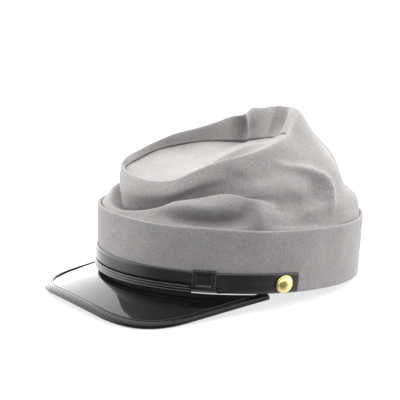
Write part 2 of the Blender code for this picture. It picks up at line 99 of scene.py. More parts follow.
def ripple(points, height, wavelength, seed):
    """A smooth uneven swell, about this high and this deep, the same each time for one seed."""
    pick = np.random.default_rng(seed)
    waves, total = 7, 0
    for _ in range(waves):
        way = unit(pick.normal(size=3))
        length = wavelength * pick.uniform(0.7, 1.5)
        total = total + np.sin(points @ way * 2 * math.pi / length + pick.uniform(0, 2 * math.pi))
    return height * (total / (waves / 2))


def grid_faces(rows, columns, closed_rows=False, closed_columns=False):
    last_row = rows if closed_rows else rows - 1
    last_column = columns if closed_columns else columns - 1
    row, column = np.meshgrid(np.arange(last_row), np.arange(last_column), indexing="ij")
    next_row, next_column = (row + 1) % rows, (column + 1) % columns
    corners = [
        row * columns + column,
        row * columns + next_column,
        next_row * columns + next_column,
        next_row * columns + column,
    ]
    return np.stack(corners, -1).reshape(-1, 4).tolist()


def make_piece(name, points, faces, finish, slot, *nodes):
    """A finished piece of the cap: it rides with it and stands for its CAD nodes."""
    mesh = bpy.data.meshes.new(name)
    mesh.from_pydata(set_down(points).tolist(), [], faces)
    made = bmesh.new()
    made.from_mesh(mesh)
    bmesh.ops.recalc_face_normals(made, faces=made.faces)
    made.to_mesh(mesh)
    made.free()
    mesh.shade_smooth()
    mesh.materials.append(finish)
    piece = bpy.data.objects.new(name, mesh)
    bpy.context.scene.collection.objects.link(piece)
    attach(piece, "root")
    if nodes:
        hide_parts(*nodes)
    return piece


def loop_piece(name, loops, finish, slot, *nodes, closed_path=False):
    """A solid through closed loops of points, capped where its path ends."""
    count, size, _ = loops.shape
    faces = grid_faces(count, size, closed_rows=closed_path, closed_columns=True)
    if not closed_path:
        faces.append(list(range(size)))
        faces.append(list(range((count - 1) * size, count * size)))
    return make_piece(name, loops.reshape(-1, 3), faces, finish, slot, *nodes)


def fill(tree, node, inputs):
    """Gives each of these inputs of a node a plain value, or another node's output to follow."""
    for name, value in inputs.items():
        if isinstance(value, bpy.types.NodeSocket):
            tree.links.new(value, node.inputs[name])
        else:
            node.inputs[name].default_value = value
    return node


def add_node(tree, kind, inputs, **settings):
    made = tree.nodes.new(kind)
    for name, value in settings.items():
        setattr(made, name, value)
    return fill(tree, made, inputs)


def new_finish(name):
    """A finish to fill in: its material, node tree and shader, and the place on the piece."""
    finish = bpy.data.materials.new(name)
    finish.use_nodes = True
    tree = finish.node_tree
    place = add_node(tree, "ShaderNodeTexCoord", {}).outputs["Object"]
    return finish, tree, tree.nodes["Principled BSDF"], place


def noise(tree, place, scale, detail=2.0, roughness=0.5):
    inputs = {"Vector": place, "Scale": scale, "Detail": detail, "Roughness": roughness}
    return add_node(tree, "ShaderNodeTexNoise", inputs).outputs["Fac"]


def grey_ramp(tree, value, *stops):
    """A grey that follows a value through stops, each a place and a grey."""
    made = add_node(tree, "ShaderNodeValToRGB", {"Fac": value})
    while len(made.color_ramp.elements) < len(stops):
        made.color_ramp.elements.new(0.5)
    for element, (place, grey) in zip(made.color_ramp.elements, stops):
        element.position = place
        element.color = (grey, grey, grey, 1)
    return made.outputs["Color"]


def between(tree, amount, first, second, kind="MIX"):
    """A colour on its way from the first to the second, by an amount from 0 to 1."""
    inputs = {"Factor": amount, "A": first, "B": second}
    return add_node(tree, "ShaderNodeMix", inputs, data_type="RGBA", blend_type=kind).outputs["Result"]


def relief(tree, height, strength, distance, under=None):
    """Fine relief that follows a height, laid over the relief under it if there is one."""
    inputs = {"Height": height, "Strength": strength, "Distance": distance}
    if under is not None:
        inputs["Normal"] = under
    return add_node(tree, "ShaderNodeBump", inputs).outputs["Normal"]


def wool_felt(name, shade, grain):
    """Napped wool felt: pale and dark fibres mixed, faint blotches, a soft fuzz that catches light."""
    finish, tree, shader, place = new_finish(name)

    def tinted(red, green, blue):
        return (shade[0] * red, shade[1] * green, shade[2] * blue, 1)

    fibres = grey_ramp(tree, noise(tree, place, grain, 3, 0.7), (0.30, 0.0), (0.70, 1.0))
    clumps = grey_ramp(tree, noise(tree, place, grain / 3.2, 4, 0.62), (0.32, 0.0), (0.68, 1.0))
    blotches = grey_ramp(tree, noise(tree, place, 34, 3), (0.35, 0.0), (0.65, 1.0))
    by_fibre = between(tree, fibres, tinted(0.68, 0.68, 0.68), tinted(1.32, 1.32, 1.32))
    by_clump = between(tree, clumps, tinted(0.90, 0.92, 0.95), tinted(1.05, 1.0, 0.97))
    mixed = between(tree, 0.45, by_fibre, by_clump)
    pile = relief(tree, noise(tree, place, grain / 4, 3, 0.6), 0.35, 0.0012)
    combed = add_node(tree, "ShaderNodeMapping", {"Vector": place, "Scale": (1, 1, 1.6)})
    fuzz = noise(tree, combed.outputs["Vector"], grain * 0.8, 5, 0.75)
    surface = {
        "Base Color": between(tree, 0.10, mixed, blotches, "MULTIPLY"),
        "Roughness": 0.96,
        "Specular IOR Level": 0.12,
        "Sheen Weight": 0.22,
        "Sheen Roughness": 0.55,
        "Sheen Tint": (0.95, 0.93, 0.92, 1),
        "Normal": relief(tree, fuzz, 0.55, 0.0006, under=pile),
    }
    fill(tree, shader, surface)
    return finish


felt = wool_felt("grey_felt", FELT_SHADE, FELT_GRAIN)


def band_profile():
    """The band in section, as places in from its outer face and heights: its edges are soft and rounded."""
    edge = BAND_WALL / 2
    foot, shoulder = edge * BAND_EDGE_FLATNESS, BAND_HEIGHT - edge
    lower = [(edge - edge * math.cos(a), foot - foot * math.sin(a)) for a in np.linspace(0, math.pi, 9)]
    upper = [(edge + edge * math.cos(a), shoulder + edge * math.sin(a)) for a in np.linspace(0, math.pi, 11)]
    outer = [(0.0, h) for h in np.linspace(edge, shoulder, 22)[1:-1]]
    inner = [(BAND_WALL, h) for h in np.linspace(shoulder, edge, 12)[1:-1]]
    return np.array(outer[::-1] + lower + inner[::-1] + upper)


def make_band():
    """The band. Its face swells a little, and it is pressed flat where it bears on the floor."""
    angles = angles_round(BAND_STEPS)
    profile = band_profile()
    loops = np.stack([band_surface(angles, height, -inset) for inset, height in profile], 1)
    outward = unit(loops * (1, 1, 0))
    swell = ripple(loops, *FACE_SWELL, seed=3) + ripple(loops, *FACE_PUCKER, seed=4)
    from_join = (np.degrees(angles) - 180) / BACK_JOIN_DEGREES
    join = np.exp(-(from_join**2))[:, None] * BACK_JOIN_DEPTH
    loops = loops + outward * (swell - join)[..., None]
    loops[..., 2] += ripple(loops, *EDGE_WAVE, seed=5) * (profile[:, 1] / BAND_HEIGHT)[None]
    loops[..., 2] -= np.minimum(set_down(loops)[..., 2], 0.0)
    loop_piece("band", loops, felt, "grey_felt", "band", closed_path=True)


make_band()


# The crown: one piece of softer felt, seamed at the back and sewn inside the band's top. It has slumped
# forward, so its front hangs over in a fold, its sides are full of hollows, and its back stands up high.

CLOTH = 0.002
CROWN_TUCK, CROWN_HEIGHT = 0.008, 0.077
TOP_RADIUS, TOP_FORWARD = 0.057, 0.031
CROWN_STEPS, CROWN_ROWS, CROWN_PUCKER = 320, 144, (0.0005, 0.03)
FOLD_STEPS, FOLD_TAPER, FOLD_REACH = 24, 0.8, 0.7
FOLD_EASING, FACE_EASING = 20, 4
FOLDS_BEGIN, PUCKERS_BEGIN = 0.1, 0.5

# Upright sections, every 30 degrees from the front round by the wearer's left. A column gives how far out the
# cloth is from the top's seam (0) towards the band (1), and how far up, as a share of the crown's height.
CROWN_COLUMNS = ("crest", "valley", "bulge", "shoulder", "rim", "seam")
CROWN_SECTIONS = (
    ((0.80, 0.02), (0.15, -0.04), (0.36, 0.06), (0.57, 0.19), (0.26, 0.325), (0.00, 0.315)),
    ((0.64, 0.145), (-0.04, 0.03), (0.11, 0.15), (0.38, 0.24), (0.13, 0.345), (0.00, 0.335)),
    ((0.72, 0.285), (0.26, 0.23), (0.22, 0.335), (0.34, 0.435), (0.13, 0.54), (0.00, 0.53)),
    ((0.95, 0.14), (0.80, 0.27), (0.56, 0.39), (0.30, 0.54), (0.13, 0.66), (0.00, 0.65)),
    ((0.97, 0.15), (0.86, 0.29), (0.70, 0.46), (0.38, 0.64), (0.15, 0.78), (0.00, 0.76)),
    ((0.94, 0.18), (0.74, 0.31), (0.61, 0.53), (0.37, 0.75), (0.14, 0.97), (0.00, 0.76)),
    ((0.95, 0.18), (0.78, 0.31), (0.64, 0.53), (0.36, 0.77), (0.11, 0.97), (0.00, 0.66)),
    ((0.97, 0.17), (0.84, 0.30), (0.68, 0.50), (0.35, 0.70), (0.07, 0.845), (0.00, 0.58)),
    ((0.98, 0.14), (0.85, 0.23), (0.67, 0.37), (0.36, 0.56), (0.06, 0.675), (0.00, 0.53)),
    ((0.95, 0.11), (0.76, 0.16), (0.62, 0.27), (0.37, 0.44), (0.07, 0.55), (0.00, 0.455)),
    ((0.73, 0.12), (0.40, 0.10), (0.37, 0.18), (0.35, 0.33), (0.19, 0.42), (0.00, 0.36)),
    ((0.60, 0.085), (0.05, 0.01), (0.06, 0.10), (0.18, 0.25), (0.19, 0.375), (0.00, 0.335)),
)

# Smaller folds: each has a half-width and a rise in metres, negative for a hollow, and runs through places on
# the crown, given as the angle round it and how many of the sections' columns up it they are.
CROWN_FOLDS = (
    (0.0052, -0.0090, (
        (27, 0.44), (34, 0.31), (40, 0.22), (46, 0.16), (52, 0.14), (58, 0.20), (63, 0.34), (67, 0.55),
    )),
    (0.0062, 0.0045, ((30, 0.80), (36, 0.66), (43, 0.56), (50, 0.52), (56, 0.58), (62, 0.78))),
    (0.0050, 0.0030, ((70, 0.22), (71, 0.45), (72, 0.68))),
    (0.0085, -0.0085, (
        (80, 1.10), (83, 1.22), (87, 1.42), (91, 1.60), (95, 1.78), (100, 2.05), (104, 2.50), (109, 2.90),
    )),
    (0.0090, -0.0040, ((79, 0.50), (87, 0.50), (95, 0.52), (103, 0.60))),
    (0.0100, 0.0036, ((72, 2.3), (80, 2.6), (88, 2.9), (95, 3.2))),
    (0.0036, 0.0048, (
        (94, 4.0), (99, 3.7), (104, 3.5), (108.5, 3.26), (112.5, 2.9), (113, 2.5), (111.5, 2.0), (108, 1.3),
        (106, 0.8),
    )),
    (0.0045, -0.0016, ((62, 4.1), (67, 3.85), (73, 3.6))),
    (0.0055, -0.0050, ((171, 5.2), (171, 5.45), (172, 5.7), (173, 5.95))),
    (0.0052, -0.0088, ((209.5, 5.2), (208.3, 5.5), (207, 5.8), (206, 6.1))),
    (0.0040, 0.0046, ((202, 4.95), (200.5, 5.5), (199, 6.1))),
    (0.0050, 0.0020, ((158, 5.3), (152, 5.5), (145, 5.7))),
    (0.0090, -0.0030, ((236, 2.2), (228, 2.9), (222, 3.4))),
    (0.0070, 0.0024, ((262, 1.6), (250, 2.4), (240, 3.2))),
    (0.0080, -0.0028, ((150, 1.2), (165, 1.9), (182, 2.2), (200, 1.7))),
    (0.0070, 0.0020, ((140, 2.0), (150, 2.8), (158, 3.6))),
    (0.0080, -0.0026, ((284, 1.0), (272, 1.8), (262, 2.7))),
)


def curve_through(values, at, closed=False):
    """Values on a smooth curve through equally spaced rows of values, at places counted in rows."""
    values, at = np.asarray(values, float), np.asarray(at, float)
    count = len(values)
    start = np.floor(at).astype(int)
    if closed:
        before, here, after, beyond = (values[(start + k) % count] for k in (-1, 0, 1, 2))
    else:
        start = np.clip(start, 0, count - 2)
        ends = np.concatenate([[2 * values[0] - values[1]], values, [2 * values[-1] - values[-2]]])
        before, here, after, beyond = (ends[start + k] for k in (0, 1, 2, 3))
    share = (at - start).reshape(-1, *([1] * (values.ndim - 1)))
    leave, arrive = (after - before) / 2, (beyond - here) / 2
    square, cube = share**2, share**3
    return (
        (2 * cube - 3 * square + 1) * here
        + (cube - 2 * square + share) * leave
        + (3 * square - 2 * cube) * after
        + (cube - square) * arrive
    )


def crown_base(angles, places):
    """The crown's shown face before its smaller folds, by angle and by place up from the band (0)."""
    sections = curve_through(CROWN_SECTIONS, angles / (2 * math.pi) * len(CROWN_SECTIONS), closed=True)
    leaving = band_surface(angles, BAND_HEIGHT, -BAND_WALL - CLEARANCE)
    top = oval(angles, TOP_RADIUS, TOP_RADIUS, TOP_FORWARD)
    guides = [leaving]
    for column in range(len(CROWN_COLUMNS)):
        out, up = sections[:, column].T
        plan = top + (leaving[:, :2] - top) * out[:, None]
        guides.append(np.concatenate([plan, (BAND_HEIGHT + up * CROWN_HEIGHT)[:, None]], -1))
    return curve_through(np.stack(guides), places)


def sheet_normals(grid):
    along = np.roll(grid, -1, 1) - np.roll(grid, 1, 1)
    return unit(np.cross(along, np.gradient(grid, axis=0)))


def eased(grid, rounds):
    """The grid with each point drawn towards its neighbours, so that folds meet softly."""
    for _ in range(rounds):
        around = (np.roll(grid, 1, 1) + np.roll(grid, -1, 1)) / 2
        across = grid.copy()
        across[1:-1] = (grid[:-2] + grid[2:]) / 2
        mixed = 0.5 * grid + 0.25 * around + 0.25 * across
        mixed[0], mixed[-1] = grid[0], grid[-1]
        grid = mixed
    return grid


def folded(grid, angles, places):
    """The crown's face pushed in and out along each fold's line, and less towards the line's two ends."""
    normal = sheet_normals(eased(grid, FOLD_EASING))
    push = np.zeros(grid.shape[:2])
    for half_width, rise, line in CROWN_FOLDS:
        line = np.array(line, float)
        line[:, 0] = np.degrees(np.unwrap(np.radians(line[:, 0])))
        path = curve_through(line, np.linspace(0, len(line) - 1, FOLD_STEPS))
        fade = np.sin(np.linspace(0.02, 0.98, FOLD_STEPS) * math.pi) ** FOLD_TAPER
        columns = np.round(path[:, 0] / 360 * len(angles)).astype(int) % len(angles)
        rows = np.abs(places[None] - path[:, 1:]).argmin(1)
        distance = np.linalg.norm(grid[:, :, None] - grid[rows, columns], axis=-1) / half_width
        layer = (places[:, None, None] - path[:, 1]) / FOLD_REACH
        push += rise * (fade * np.exp(-(distance**2) - layer**4)).max(-1)
    near_band = np.clip(places / FOLDS_BEGIN, 0, 1)[:, None]
    return grid + normal * (push * near_band)[..., None]


def crown_face():
    """The crown's shown face, from its foot inside the band to its seam with the top."""
    angles = angles_round(CROWN_STEPS)
    places = np.linspace(0, len(CROWN_COLUMNS), CROWN_ROWS)
    grid = folded(crown_base(angles, places), angles, places)
    grid = eased(grid, FACE_EASING)
    foot = band_surface(angles, BAND_HEIGHT - CROWN_TUCK, -BAND_WALL - CLEARANCE)
    near_band = np.clip(places / PUCKERS_BEGIN, 0, 1)[:, None, None]
    grid = grid + sheet_normals(grid) * ripple(grid, *CROWN_PUCKER, seed=11)[..., None] * near_band
    return np.concatenate([foot[None], grid])


def thickness(piece, wall):
    """Gives a sheet its thickness behind the face that shows."""
    made = piece.modifiers.new("thickness", "SOLIDIFY")
    made.thickness = wall
    made.offset = -1
    made.use_quality_normals = True


def facing(piece, outward):
    """Turns the piece's faces so that they look along outward at its middle face."""
    middle = piece.data.polygons[len(piece.data.polygons) // 2]
    if Vector(outward(middle.center)).dot(middle.normal) < 0:
        piece.data.flip_normals()


crown_grid = crown_face()
crown_faces = grid_faces(*crown_grid.shape[:2], closed_columns=True)
crown = make_piece("crown", crown_grid.reshape(-1, 3), crown_faces, felt, "grey_felt", "crown")
facing(crown, lambda point: (point[0], point[1] + TOP_FORWARD, 0))
thickness(crown, CLOTH)


# The top piece: a disc of the same felt let into the crown a little below its turned edge. It sags in the
# middle, and a soft ridge follows its near side where the crown pulls on it.

TOP_SAG, TOP_STEP = 0.0035, 0.0012
TOP_RIDGE, TOP_RIDGE_ANGLE, TOP_RIDGE_SPREAD = 0.0065, 84.0, 32.0
TOP_RIDGE_REACH, TOP_RIDGE_WIDTH = 0.79, 0.10
TOP_ROWS, TOP_PUCKER = 60, (0.0006, 0.03)


def top_face():
    """The disc, hung from its seam: each wave of the seam's height dies away towards the middle."""
    rim = crown_grid[-1]
    angles = angles_round(len(rim))
    reach = np.linalg.norm(rim[:, :2] - (0, -TOP_FORWARD), axis=1) - CLEARANCE
    waves = np.fft.rfft(rim[:, 2])
    grid = []
    for share in np.linspace(1, 0, TOP_ROWS + 1)[:-1]:
        height = np.fft.irfft(waves * share ** np.arange(len(waves)), len(rim))
        height -= TOP_STEP + TOP_SAG * (1 - share**2)
        turn = (np.degrees(angles) - TOP_RIDGE_ANGLE) / TOP_RIDGE_SPREAD
        height += TOP_RIDGE * np.exp(-(turn**2) - ((share - TOP_RIDGE_REACH) / TOP_RIDGE_WIDTH) ** 2)
        plan = oval(angles, reach * share, reach * share, TOP_FORWARD)
        grid.append(np.concatenate([plan, height[:, None]], -1))
    grid = np.stack(grid)
    grid[..., 2] += ripple(grid * (1, 1, 0), *TOP_PUCKER, seed=21)
    return grid


def make_top():
    grid = top_face()
    rows, columns, _ = grid.shape
    points = np.concatenate([grid.reshape(-1, 3), grid[-1].mean(0)[None]])
    faces = grid_faces(rows, columns, closed_columns=True)
    ring = (rows - 1) * columns
    faces += [[ring + c, ring + (c + 1) % columns, rows * columns] for c in range(columns)]
    piece = make_piece("crown_top", points, faces, felt, "grey_felt", "crown_top")
    facing(piece, lambda point: (0, 0, 1))
    thickness(piece, CLOTH)


make_top()


# The peak: a stiff board under black patent sheet, glossy as a mirror, its inner edge tucked under the band.
# It slopes down to its two rounded front corners, and is a little arched between them.

PEAK_REACH, PEAK_HALF_WIDTH, PEAK_END_HALF_WIDTH = 0.0316, 0.0747, 0.0811
PEAK_END_ANGLE, PEAK_CORNER, PEAK_BOW = 76.0, 0.0384, 0.0083
PEAK_BOARD, PEAK_TUCK, PEAK_DROP, PEAK_ARCH = 0.002, 0.0045, 0.0187, 0.0059
BINDING_LIP, BINDING_WIDTH, BINDING_ROLL = 0.0009, 0.0045, 0.0022
BINDING_SLOT = PEAK_BOARD / 2 + CLEARANCE * 0.5
BINDING_FACE = BINDING_SLOT + BINDING_LIP
PEAK_BELOW = BINDING_LIP + 2 * CLEARANCE
PEAK_STEPS, PEAK_ROWS, COVERED_ROWS, OUTLINE_STEPS = 241, 25, 5, 40
FURTHEST_IN = 0.9


def mapped(tree, value, given, wanted):
    """A value in the range given, carried over to the range wanted."""
    ends = {"From Min": given[0], "From Max": given[1], "To Min": wanted[0], "To Max": wanted[1]}
    return add_node(tree, "ShaderNodeMapRange", {"Value": value, **ends}).outputs["Result"]


def patent(name, ripple_scale, ripple_height, gloss_share, haze):
    """Black patent sheet: a hard clear gloss over black, with a faint unevenness and a few dull rubs."""
    finish, tree, shader, place = new_finish(name)
    rubs = noise(tree, place, 160, 6)
    unevenness = relief(tree, noise(tree, place, ripple_scale, 2), 1.0, ripple_height)
    surface = {
        "Base Color": between(tree, rubs, (0.003, 0.003, 0.0035, 1), (0.007, 0.007, 0.008, 1)),
        "Roughness": mapped(tree, rubs, (0.45, 0.75), (0.07, 0.20)),
        "Specular IOR Level": 0.15,
        "Coat Weight": gloss_share,
        "Coat Roughness": haze,
        "Coat IOR": 1.40,
        "Normal": unevenness,
        "Coat Normal": unevenness,
    }
    fill(tree, shader, surface)
    return finish


patent_sheet = patent("black_patent", ripple_scale=90.0, ripple_height=0.00006, gloss_share=0.80, haze=0.03)


def peak_half_plan(inset):
    """Half of the peak's edge in plan: a bowed front, a rounded corner, a nearly straight side."""
    end = np.array([PEAK_END_HALF_WIDTH, BAND_LENGTH / 2 * math.cos(math.radians(PEAK_END_ANGLE))])
    reach = BAND_LENGTH / 2 + PEAK_REACH
    corner = np.array([PEAK_HALF_WIDTH, reach - PEAK_BOW])
    across = np.linspace(0, PEAK_HALF_WIDTH - PEAK_CORNER, OUTLINE_STEPS)
    front = np.stack([across, reach - PEAK_BOW * (across / PEAK_HALF_WIDTH) ** 2], -1)
    side_start = corner + unit(end - corner) * PEAK_CORNER
    t = np.linspace(0, 1, 2 * OUTLINE_STEPS)[1:, None]
    rounded = (1 - t) ** 2 * front[-1] + 2 * (1 - t) * t * corner + t**2 * side_start
    side = side_start + (end - side_start) * np.linspace(0, 1, OUTLINE_STEPS)[1:, None]
    plan = np.concatenate([front, rounded, side])
    along = unit(np.gradient(plan, axis=0))
    return plan - np.stack([-along[:, 1], along[:, 0]], -1) * inset


def peak_outline(turns, inset):
    """The peak's outer edge, by turn from the front (0) to either end (1 and -1), moved in by inset."""
    plan = peak_half_plan(inset)
    run = np.concatenate([[0], np.cumsum(np.linalg.norm(np.diff(plan, axis=0), axis=-1))])
    x = np.interp(np.abs(turns), run / run[-1], plan[:, 0])
    forward = np.interp(np.abs(turns), run / run[-1], plan[:, 1])
    corner = BAND_LENGTH / 2 + PEAK_REACH - PEAK_BOW
    share = (forward - forward.min()) / (corner - forward.min())
    arch = PEAK_ARCH * share * (1 - (x / PEAK_HALF_WIDTH) ** 2).clip(0)
    return np.stack([x * np.sign(turns), -forward, arch - PEAK_DROP * share - PEAK_BELOW], -1)


def peak_inner(turns):
    edge = band_surface(np.asarray(turns) * math.radians(PEAK_END_ANGLE), 0.0, -PEAK_TUCK)
    edge[..., 2] = -PEAK_BELOW
    return edge


def board_line(turns, inward):
    """A line on the board's upper face, this far in from its outer edge, and the face's normal along it."""
    outer = peak_outline(turns, inset=BINDING_ROLL + CLEARANCE)
    ruling = peak_inner(turns) - outer
    length = np.linalg.norm(ruling, axis=-1, keepdims=True)
    line = outer + ruling / length * np.minimum(inward, length * FURTHEST_IN)
    normal = unit(np.cross(ruling, np.gradient(line, axis=0)))
    return line, normal * np.sign(normal[:, 2:])


def make_peak():
    turns = np.linspace(-1, 1, PEAK_STEPS)
    lines = [board_line(turns, inward) for inward in np.linspace(0.0, BINDING_WIDTH, COVERED_ROWS)]
    covered, normal = lines[-1]
    for share in np.linspace(0, 1, PEAK_ROWS)[1:]:
        lines.append((covered + (peak_inner(turns) - covered) * share, normal))
    upper = [line for line, _ in lines]
    lower = [line - up * PEAK_BOARD for line, up in reversed(lines)]
    loop_piece("peak", np.stack(upper + lower, 1), patent_sheet, "black_patent", "peak")


make_peak()


# The binding: a strip of softer patent cloth folded over the peak's edge and sewn through all three layers
# with black thread. It swells a little between the edge and the sewing.

BINDING_STEPS, STITCH_INSET, STITCH_SUNK = 321, 0.0010, 0.0002


def binding_section():
    """The binding in section, as places out from the board's edge and up from the board's middle."""
    slot, face, lip = BINDING_SLOT, BINDING_FACE, -BINDING_WIDTH
    groove = lip + STITCH_INSET
    # From the slot round the lip, down into the sewing's groove, and over to the rolled edge.
    upper = [
        (CLEARANCE, slot),
        (lip / 2, slot),
        (lip, slot),
        (lip - 0.0001, face - 0.0004),
        (lip + 0.0003, face - 0.00005),
        (groove - 0.0003, face - 0.0001),
        (groove, face - 0.00035),
        (groove + 0.0003, face - 0.0001),
        (groove + 0.0009, face + 0.0001),
        (lip / 2, face + 0.00015),
        (lip / 4, face + 0.0001),
    ]
    lower = [(out, -up) for out, up in reversed(upper)]
    steps = np.linspace(math.pi / 2, -math.pi / 2, 17)
    roll = [(CLEARANCE + BINDING_ROLL * math.cos(a), face * math.sin(a)) for a in steps]
    return upper + roll + lower


def binding_loops(section):
    turns = np.linspace(-1, 1, BINDING_STEPS)
    edge, up_there = board_line(turns, 0.0)
    out_there = unit(np.cross(up_there, np.gradient(edge, axis=0)))
    out_there *= np.sign(np.sum(out_there * (edge - peak_inner(turns)), axis=-1, keepdims=True))
    loops = []
    for out, up in section:
        line, normal = board_line(turns, max(-out, 0.0))
        loops.append(line + out_there * max(out, 0.0) + normal * (up - PEAK_BOARD / 2))
    return np.stack(loops, 1)


bound_cloth = patent("bound_patent", ripple_scale=260.0, ripple_height=0.00012, gloss_share=0.36, haze=0.14)
binding_run = binding_loops(binding_section())
loop_piece("peak_binding", binding_run, bound_cloth, "black_patent", "peak_binding")


def thread(name, colour):
    """Sewing thread, its twist seen as a faint change of shade."""
    finish, tree, shader, place = new_finish(name)
    dark, pale = ((*(c * share for c in colour), 1) for share in (0.7, 1.3))
    fill(tree, shader, {"Base Color": between(tree, noise(tree, place, 3000), dark, pale), "Roughness": 0.55})
    return finish


def stitch_tree(name, finish):
    """Geometry Nodes that lay short rounded stitches end to end along a line."""
    tree = bpy.data.node_groups.new(name, "GeometryNodeTree")
    tree.interface.new_socket("Geometry", in_out="INPUT", socket_type="NodeSocketGeometry")
    for label in ("Pitch", "Stitch Length", "Thread Radius"):
        tree.interface.new_socket(label, in_out="INPUT", socket_type="NodeSocketFloat")
    tree.interface.new_socket("Geometry", in_out="OUTPUT", socket_type="NodeSocketGeometry")
    given = tree.nodes.new("NodeGroupInput").outputs
    radius = given["Thread Radius"]
    half = add_node(tree, "ShaderNodeMath", {0: given["Stitch Length"], 1: 0.5}, operation="MULTIPLY")
    size = add_node(tree, "ShaderNodeCombineXYZ", {"X": radius, "Y": radius, "Z": half.outputs["Value"]})
    bead = add_node(tree, "GeometryNodeMeshUVSphere", {"Segments": 8, "Rings": 5, "Radius": 1.0})
    line = add_node(tree, "GeometryNodeMeshToCurve", {"Mesh": given["Geometry"]})
    steps = {"Curve": line.outputs["Curve"], "Length": given["Pitch"]}
    spots = add_node(tree, "GeometryNodeCurveToPoints", steps, mode="LENGTH").outputs
    laid = {
        "Points": spots["Points"],
        "Rotation": spots["Rotation"],
        "Instance": bead.outputs["Mesh"],
        "Scale": size.outputs["Vector"],
    }
    row = add_node(tree, "GeometryNodeInstanceOnPoints", laid).outputs["Instances"]
    row = add_node(tree, "GeometryNodeRealizeInstances", {"Geometry": row}).outputs["Geometry"]
    row = add_node(tree, "GeometryNodeSetShadeSmooth", {"Geometry": row}).outputs["Geometry"]
    row = add_node(tree, "GeometryNodeSetMaterial", {"Geometry": row, "Material": finish}).outputs["Geometry"]
    add_node(tree, "NodeGroupOutput", {"Geometry": row})
    return tree


def sew(name, lines, finish, pitch, length, radius):
    """Rows of stitches along lines of points, as one plain mesh."""
    points, edges = [], []
    for line in lines:
        start = len(points)
        points += set_down(line).tolist()
        edges += [(i, i + 1) for i in range(start, len(points) - 1)]
    mesh = bpy.data.meshes.new(name + "_line")
    mesh.from_pydata(points, edges, [])
    guide = bpy.data.objects.new(name + "_line", mesh)
    bpy.context.scene.collection.objects.link(guide)
    tree = stitch_tree(name, finish)
    sewing = guide.modifiers.new("sewing", "NODES")
    sewing.node_group = tree
    sizes = {"Pitch": pitch, "Stitch Length": length, "Thread Radius": radius}
    for socket in tree.interface.items_tree:
        if socket.in_out == "INPUT" and socket.name in sizes:
            sewing[socket.identifier] = sizes[socket.name]
    graph = bpy.context.evaluated_depsgraph_get()
    sewn = bpy.data.meshes.new_from_object(guide.evaluated_get(graph))
    bpy.data.objects.remove(guide)
    piece = bpy.data.objects.new(name, sewn)
    bpy.context.scene.collection.objects.link(piece)
    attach(piece, "root")


black_thread = thread("black_thread", (0.03, 0.03, 0.032))
stitch_section = [(-BINDING_WIDTH + STITCH_INSET, side * (BINDING_FACE - STITCH_SUNK)) for side in (1, -1)]
upper_run, lower_run = np.moveaxis(binding_loops(stitch_section)[2:-2], 1, 0)
sew(
    "binding_sewing",
    [upper_run, lower_run],
    black_thread,
    pitch=0.0026,
    length=0.0021,
    radius=0.00022,
)


# The crown's back seam: its two edges are sewn together from the top's seam, over the high back and down to
# the band, and topstitched on either side in grey thread.

SEAM_APART, SEAM_THREAD_OUT = 0.0021, 0.00012


def seam_line(offset):
    """A line down the crown's middle back, this far round from its seam, standing just on the cloth."""
    middle = crown_grid.shape[1] // 2
    line = crown_grid[:, middle]
    across = unit(crown_grid[:, middle + 1] - crown_grid[:, middle - 1])
    normal = sheet_normals(crown_grid)[:, middle]
    outward = np.sign(normal[len(line) // 3, 1])
    return (line + across * offset + normal * outward * SEAM_THREAD_OUT)[2:-1]


grey_thread = thread("grey_thread", (0.17, 0.163, 0.158))
sew(
    "back_sewing",
    [seam_line(SEAM_APART / 2), seam_line(-SEAM_APART / 2)],
    grey_thread,
    pitch=0.0024,
    length=0.0019,
    radius=0.00021,
)


# The welt: a ribbed strip of black leather cloth glued along the joint of band and peak. It ends just short
# of the slide on the wearer's left, and near the peak's end on the right.

WELT_HEIGHT, WELT_THICKNESS, WELT_END_ANGLE, WELT_STEPS = 0.0049, 0.0017, 78.0, 160
WELT_RIB, WELT_RIBS, RIB_STEPS, RIB_FULLNESS = 0.0006, 3, 12, 0.7
STRAP_THICKNESS, STRAP_WIDTH, STRAP_END_ANGLE = 0.0012, 0.0098, 87.9
REAR_STRAP_WIDTH, REAR_STRAP_LIFT, REAR_STRAP_CROWNING = 0.0145, 0.0007, 0.0006
SLIDE_ANGLE, SLIDE_LENGTH, SLIDE_HEIGHT, SLIDE_WALL = 48.9, 0.0157, 0.0134, 0.0009
SLIDE_FRAME, SLIDE_RECESS = 0.0024, 0.0004

# Ends near the slide, in half lengths of the slide from its middle.
WELT_STOPS, STRAPS_MEET, REAR_STRAP_WIDENS = 1.06, 0.05, 1.05


def leather_cloth(name):
    """Black leather cloth: a fine pebbled grain with a satin gloss, dulled a little where it is handled."""
    finish, tree, shader, place = new_finish(name)
    wear = noise(tree, place, 110, 5)
    pebbles = add_node(tree, "ShaderNodeTexVoronoi", {"Vector": place, "Scale": 1500})
    surface = {
        "Base Color": between(tree, wear, (0.005, 0.005, 0.0055, 1), (0.012, 0.012, 0.013, 1)),
        "Roughness": mapped(tree, wear, (0.35, 0.70), (0.17, 0.30)),
        "Specular IOR Level": 0.5,
        "Coat Weight": 0.15,
        "Coat Roughness": 0.15,
        "Normal": relief(tree, pebbles.outputs["Distance"], 0.25, 0.0001),
    }
    fill(tree, shader, surface)
    return finish


strap_cloth = leather_cloth("black_strap")


def slide_half_angle():
    here = math.radians(SLIDE_ANGLE)
    radius = math.hypot(BAND_WIDTH / 2 * math.cos(here), BAND_LENGTH / 2 * math.sin(here))
    return math.degrees(SLIDE_LENGTH / 2 / radius)


